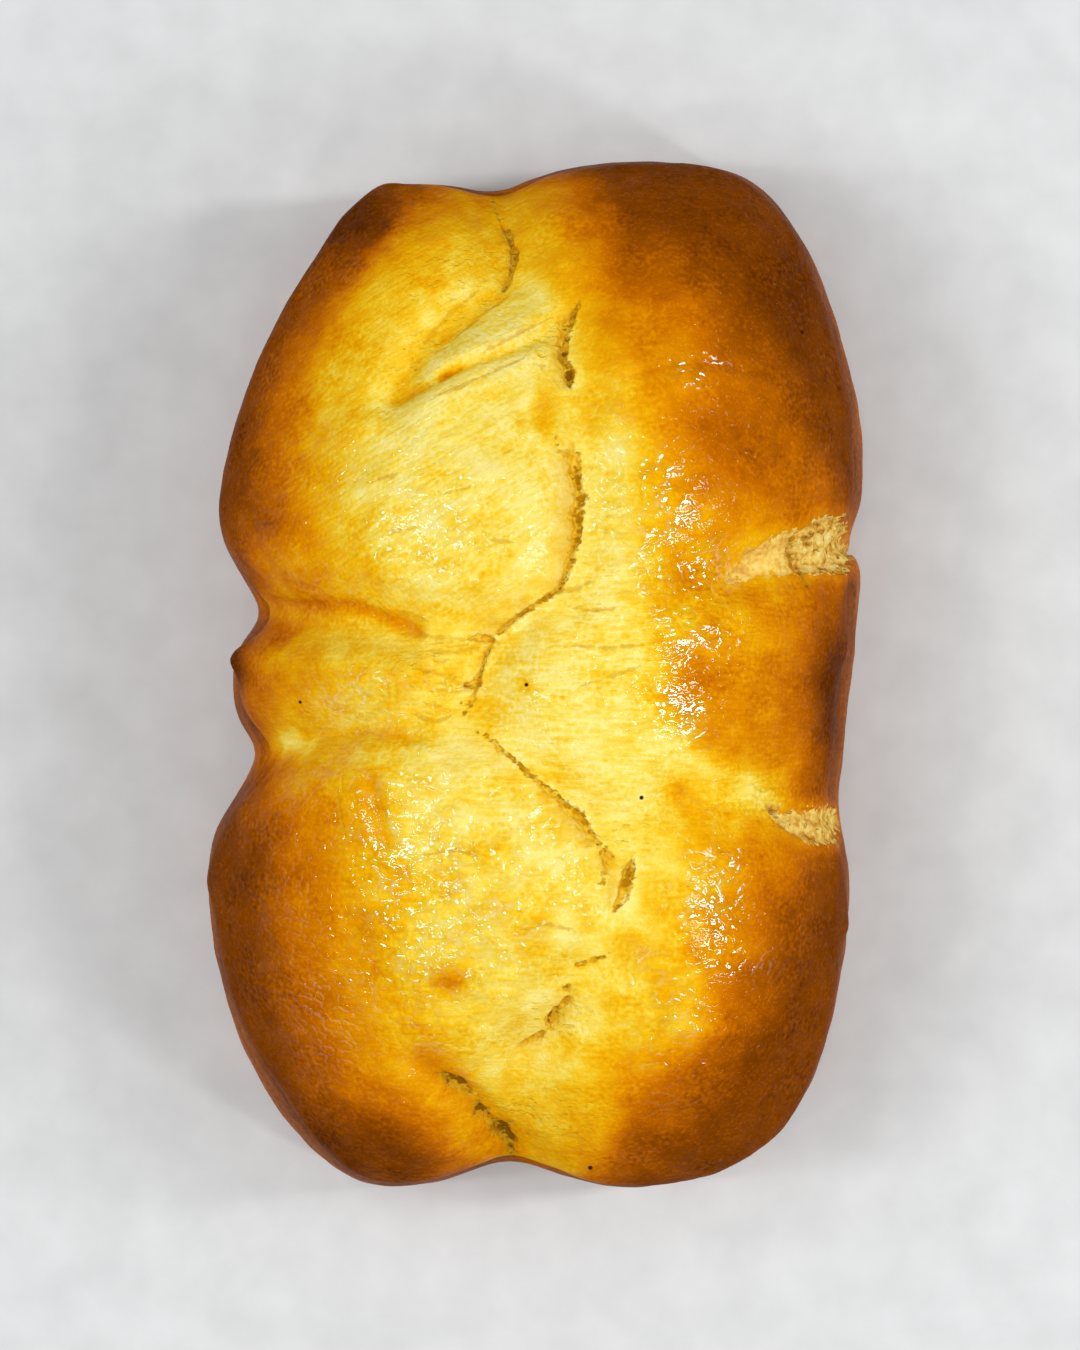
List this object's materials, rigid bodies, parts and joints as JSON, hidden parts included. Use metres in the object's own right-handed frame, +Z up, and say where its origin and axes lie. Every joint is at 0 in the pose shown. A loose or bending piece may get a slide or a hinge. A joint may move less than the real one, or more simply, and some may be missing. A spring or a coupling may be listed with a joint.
{
  "type": "brioche loaf",
  "caption": "Oblong tin-baked brioche loaf of fused dough balls, with a glossy browned crust, torn seams and a flat base.",
  "frame": {"origin": "middle of the flat base, under the middle of the loaf's box", "axes": "+Z up, +Y along the loaf towards its back end, +X to the right seen from the front end"},
  "size_m": [0.135, 0.2104, 0.0858],
  "materials": {
    "crust": "egg-washed baked crust, pale yellow along the seams to dark brown at the ends and sides"
  },
  "bodies": {
    "root": {"loaf": "crust"}
  },
  "joints": []
}
